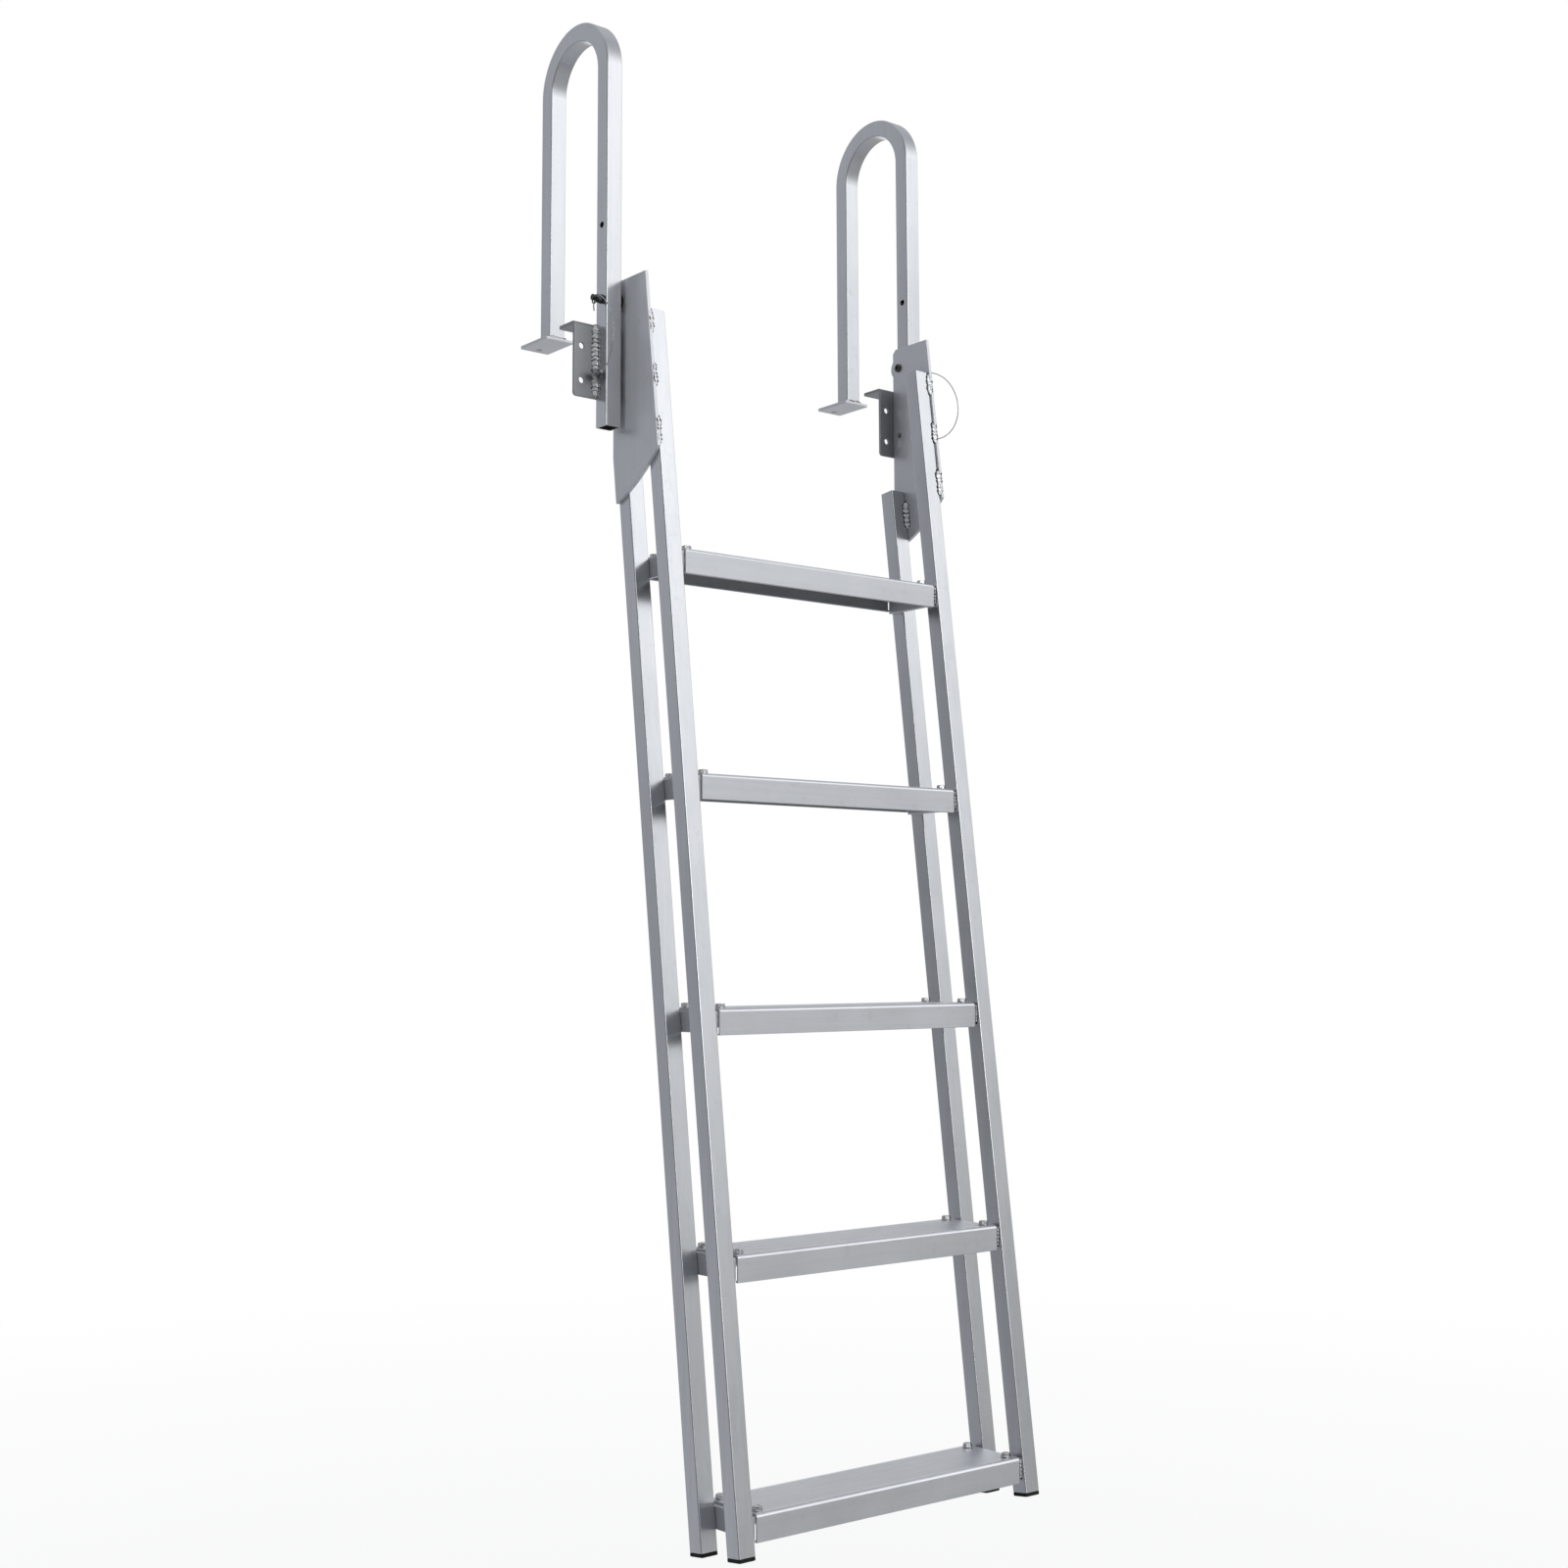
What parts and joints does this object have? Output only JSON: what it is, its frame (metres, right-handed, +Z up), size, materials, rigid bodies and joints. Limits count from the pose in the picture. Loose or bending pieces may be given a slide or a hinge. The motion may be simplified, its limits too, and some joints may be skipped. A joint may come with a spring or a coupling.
{
  "type": "boat boarding ladder",
  "caption": "Aluminium dock ladder with level channel steps between leaning twin rails, flipping up on two pivot bolts between handle loops that stand on the dock.",
  "frame": {"origin": "middle of the dock's top edge: on the plane of the brackets' back faces, at the height of the deck that the brackets hook over, midway between the handles", "axes": "+X along the steps, +Y over the dock, -Y over the water, +Z up"},
  "size_m": [0.65, 0.4489, 2.0427],
  "materials": {
    "tube_aluminium": "satin clear-anodised extruded square tube",
    "plate_aluminium": "satin rolled plate and angle with bright weld beads",
    "step_aluminium": "satin extrusion with a ribbed anti-slip top",
    "black_plastic": "moulded, fine grain",
    "fastener_steel": "stainless hexagon hardware",
    "lanyard_steel": "thin stranded stainless wire"
  },
  "bodies": {
    "handles": {"handle_tube_left": "tube_aluminium", "foot_plate_left": "plate_aluminium", "dock_bracket_left": "plate_aluminium", "pivot_bolt_left": "fastener_steel", "pivot_washer_left": "black_plastic", "lanyard_left": "lanyard_steel", "handle_tube_right": "tube_aluminium", "foot_plate_right": "plate_aluminium", "dock_bracket_right": "plate_aluminium", "pivot_bolt_right": "fastener_steel", "pivot_washer_right": "black_plastic", "lanyard_right": "lanyard_steel"},
    "ladder": {"side_plate_left": "plate_aluminium", "rail_front_left": "tube_aluminium", "end_cap_front_left": "black_plastic", "rail_rear_left": "tube_aluminium", "end_cap_rear_left": "black_plastic", "side_plate_right": "plate_aluminium", "rail_front_right": "tube_aluminium", "end_cap_front_right": "black_plastic", "rail_rear_right": "tube_aluminium", "end_cap_rear_right": "black_plastic", "step_1": "step_aluminium", "step_bracket_1_left": "plate_aluminium", "step_bolt_1_front_left": "fastener_steel", "step_bolt_1_rear_left": "fastener_steel", "step_bracket_1_right": "plate_aluminium", "step_bolt_1_front_right": "fastener_steel", "step_bolt_1_rear_right": "fastener_steel", "step_2": "step_aluminium", "step_bracket_2_left": "plate_aluminium", "step_bolt_2_front_left": "fastener_steel", "step_bolt_2_rear_left": "fastener_steel", "step_bracket_2_right": "plate_aluminium", "step_bolt_2_front_right": "fastener_steel", "step_bolt_2_rear_right": "fastener_steel", "step_3": "step_aluminium", "step_bracket_3_left": "plate_aluminium", "step_bolt_3_front_left": "fastener_steel", "step_bolt_3_rear_left": "fastener_steel", "step_bracket_3_right": "plate_aluminium", "step_bolt_3_front_right": "fastener_steel", "step_bolt_3_rear_right": "fastener_steel", "step_4": "step_aluminium", "step_bracket_4_left": "plate_aluminium", "step_bolt_4_front_left": "fastener_steel", "step_bolt_4_rear_left": "fastener_steel", "step_bracket_4_right": "plate_aluminium", "step_bolt_4_front_right": "fastener_steel", "step_bolt_4_rear_right": "fastener_steel", "step_5": "step_aluminium", "step_bracket_5_left": "plate_aluminium", "step_bolt_5_front_left": "fastener_steel", "step_bolt_5_rear_left": "fastener_steel", "step_bracket_5_right": "plate_aluminium", "step_bolt_5_front_right": "fastener_steel", "step_bolt_5_rear_right": "fastener_steel"},
    "lock_pin_left": {"lock_pin_left": "fastener_steel"},
    "lock_pin_right": {"lock_pin_right": "fastener_steel"}
  },
  "joints": [
    {"name": "ladder_flip", "type": "hinge", "parent": "handles", "child": "ladder", "pos_m": [0, -0.0173, 0.037], "axis": [-1, 0, 0], "range_deg": [0, 180]},
    {"name": "lock_pin_pull_left", "type": "slide", "parent": "handles", "child": "lock_pin_left", "axis": [-1, 0, 0], "range_m": [0, 0.035]},
    {"name": "lock_pin_pull_right", "type": "slide", "parent": "handles", "child": "lock_pin_right", "axis": [1, 0, 0], "range_m": [0, 0.035]}
  ]
}
